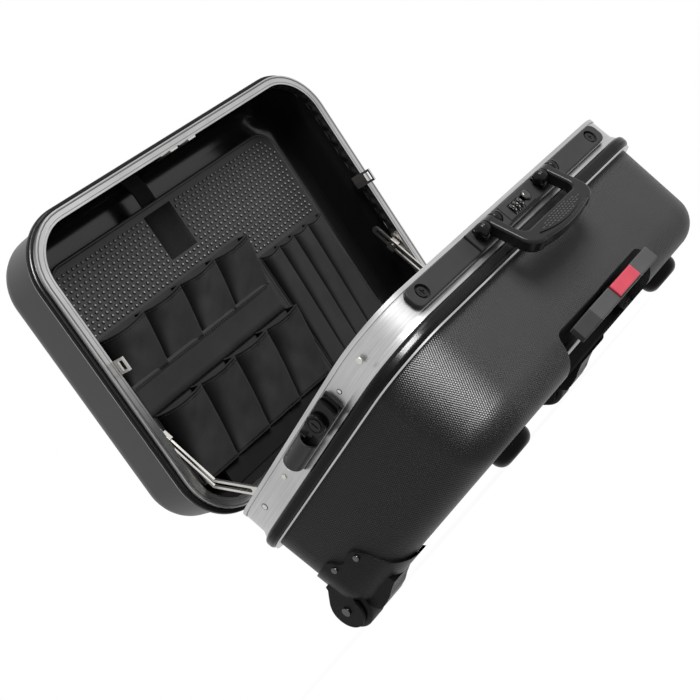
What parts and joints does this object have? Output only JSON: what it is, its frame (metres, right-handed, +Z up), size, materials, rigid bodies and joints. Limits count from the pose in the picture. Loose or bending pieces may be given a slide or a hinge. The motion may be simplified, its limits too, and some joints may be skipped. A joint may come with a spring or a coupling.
{
  "type": "rolling tool case",
  "caption": "Hard-shell rolling tool case with an aluminium frame, open lid with tool board and pockets, side latches, dial lock, carry handle, pull-out handle, wheels and feet.",
  "frame": {"origin": "on the floor, under the middle of the open case's box", "axes": "+X right along the front, +Y to the hinges, +Z up"},
  "size_m": [0.5036, 0.492, 0.5395],
  "materials": {
    "shell_plastic": "satin, finely textured",
    "frame_aluminium": "brushed",
    "bumper_rubber": "satin",
    "moulded_black": "satin",
    "grip_pad": "dimpled",
    "bright_steel": "nickel plated",
    "black_screws": "satin black",
    "button_chrome": "polished",
    "tube_aluminium": "anodised",
    "button_red": "satin red",
    "wheel_tyre": "matt",
    "wheel_hub": "satin",
    "board_grey": "studded",
    "pocket_fabric": "woven",
    "webbing": "woven"
  },
  "bodies": {
    "base": {"base_shell": "shell_plastic", "base_frame": "frame_aluminium", "base_bumper": "bumper_rubber", "front_feet": "bumper_rubber", "wheel_bracket_left": "moulded_black", "wheel_bracket_right": "moulded_black", "wheel_axles": "bright_steel", "guard_rivets": "bright_steel", "frame_rivets": "bright_steel", "handle_plate": "moulded_black", "plate_screws": "black_screws", "handle_lugs": "moulded_black", "handle_pins": "bright_steel", "lock_body": "moulded_black", "latch_housing_left": "moulded_black", "latch_housing_right": "moulded_black", "tele_outer_tubes": "tube_aluminium", "tele_clamps": "moulded_black", "tele_cover": "moulded_black", "hinge_base_leaves": "bright_steel", "hinge_pins": "bright_steel", "stay_pivots": "bright_steel"},
    "lid": {"lid_frame": "frame_aluminium", "lid_bumper": "bumper_rubber", "lid_shell": "shell_plastic", "hinge_lid_leaves": "bright_steel", "strikers": "moulded_black", "stay_brackets": "bright_steel", "board_hinge": "moulded_black", "board_strap": "webbing"},
    "board": {"tool_board": "board_grey", "upper_pockets": "pocket_fabric", "lower_pockets": "pocket_fabric", "side_pockets": "pocket_fabric", "hook_patch": "webbing"},
    "carry_handle": {"carry_handle": "moulded_black", "grip_pad": "grip_pad"},
    "tele_mid": {"tele_mid_tubes": "tube_aluminium"},
    "tele_handle": {"tele_inner_tubes": "tube_aluminium", "tele_grip": "moulded_black"},
    "tele_button": {"tele_button": "button_red"},
    "lock_button": {"lock_button": "button_chrome", "lock_bolt": "bright_steel"},
    "lock_dial_1": {"lock_dial_1": "black_screws"},
    "lock_dial_2": {"lock_dial_2": "black_screws"},
    "lock_dial_3": {"lock_dial_3": "black_screws"},
    "wheel_left": {"wheel_tyre_left": "wheel_tyre", "wheel_hub_left": "wheel_hub"},
    "latch_slider_left": {"latch_slider_left": "moulded_black"},
    "latch_key_left": {"latch_key_left": "black_screws"},
    "latch_bolt_left": {"latch_bolt_left": "bright_steel"},
    "stay_left": {"stay_left": "bright_steel", "stay_clip_left": "bright_steel"},
    "wheel_right": {"wheel_tyre_right": "wheel_tyre", "wheel_hub_right": "wheel_hub"},
    "latch_slider_right": {"latch_slider_right": "moulded_black"},
    "latch_key_right": {"latch_key_right": "black_screws"},
    "latch_bolt_right": {"latch_bolt_right": "bright_steel"},
    "stay_right": {"stay_right": "bright_steel", "stay_clip_right": "bright_steel"}
  },
  "joints": [
    {"name": "lid_hinge", "type": "hinge", "parent": "base", "child": "lid", "pos_m": [0, 0.16644, 0.1689], "axis": [-1, 0, 0], "range_deg": [-67, 0]},
    {"name": "board_fold", "type": "hinge", "parent": "lid", "child": "board", "pos_m": [0, 0.21249, 0.23255], "axis": [1, 0, 0], "range_deg": [0, 25]},
    {"name": "handle_swing", "type": "hinge", "parent": "base", "child": "carry_handle", "pos_m": [0, -0.22386, 0.156], "axis": [-1, 0, 0], "range_deg": [0, 100]},
    {"name": "tele_lower", "type": "slide", "parent": "base", "child": "tele_mid", "axis": [0, -1, 0], "range_m": [0, 0.215]},
    {"name": "tele_upper", "type": "slide", "parent": "tele_mid", "child": "tele_handle", "axis": [0, -1, 0], "range_m": [0, 0.215]},
    {"name": "tele_press", "type": "slide", "parent": "tele_handle", "child": "tele_button", "axis": [0, 1, 0], "range_m": [0, 0.004], "stiffness_N_per_m": 400},
    {"name": "dial_1_spin", "type": "hinge", "parent": "base", "child": "lock_dial_1", "pos_m": [-0.009, -0.21366, 0.1525], "axis": [1, 0, 0], "continuous": true},
    {"name": "dial_2_spin", "type": "hinge", "parent": "base", "child": "lock_dial_2", "pos_m": [-0.002, -0.21366, 0.1525], "axis": [1, 0, 0], "continuous": true},
    {"name": "dial_3_spin", "type": "hinge", "parent": "base", "child": "lock_dial_3", "pos_m": [0.005, -0.21366, 0.1525], "axis": [1, 0, 0], "continuous": true},
    {"name": "lock_slide", "type": "slide", "parent": "base", "child": "lock_button", "axis": [-1, 0, 0], "range_m": [0, 0.005]},
    {"name": "wheel_left_spin", "type": "hinge", "parent": "base", "child": "wheel_left", "pos_m": [-0.218, 0.13514, 0.026], "axis": [1, 0, 0], "continuous": true},
    {"name": "latch_left_slide", "type": "slide", "parent": "base", "child": "latch_slider_left", "axis": [0, 1, 0], "range_m": [0, 0.01]},
    {"name": "latch_left_bolt", "type": "slide", "parent": "base", "child": "latch_bolt_left", "axis": [1, 0, 0], "range_m": [0, 0.006]},
    {"name": "latch_left_key", "type": "hinge", "parent": "latch_slider_left", "child": "latch_key_left", "pos_m": [-0.247, -0.07886, 0.154], "axis": [-1, 0, 0], "range_deg": [0, 90]},
    {"name": "stay_left_swing", "type": "hinge", "parent": "base", "child": "stay_left", "pos_m": [-0.2235, 0.07714, 0.154], "axis": [-1, 0, 0], "range_deg": [-88.5, 0]},
    {"name": "wheel_right_spin", "type": "hinge", "parent": "base", "child": "wheel_right", "pos_m": [0.218, 0.13514, 0.026], "axis": [1, 0, 0], "continuous": true},
    {"name": "latch_right_slide", "type": "slide", "parent": "base", "child": "latch_slider_right", "axis": [0, 1, 0], "range_m": [0, 0.01]},
    {"name": "latch_right_bolt", "type": "slide", "parent": "base", "child": "latch_bolt_right", "axis": [-1, 0, 0], "range_m": [0, 0.006]},
    {"name": "latch_right_key", "type": "hinge", "parent": "latch_slider_right", "child": "latch_key_right", "pos_m": [0.247, -0.07886, 0.154], "axis": [1, 0, 0], "range_deg": [0, 90]},
    {"name": "stay_right_swing", "type": "hinge", "parent": "base", "child": "stay_right", "pos_m": [0.2235, 0.07714, 0.154], "axis": [-1, 0, 0], "range_deg": [-88.5, 0]}
  ],
  "couplings": [
    {"joint": "stay_left_swing", "follows": "lid_hinge", "ratio": 1.3117},
    {"joint": "latch_left_bolt", "follows": "latch_left_slide", "ratio": 0.6},
    {"joint": "stay_right_swing", "follows": "lid_hinge", "ratio": 1.3117},
    {"joint": "latch_right_bolt", "follows": "latch_right_slide", "ratio": 0.6}
  ]
}
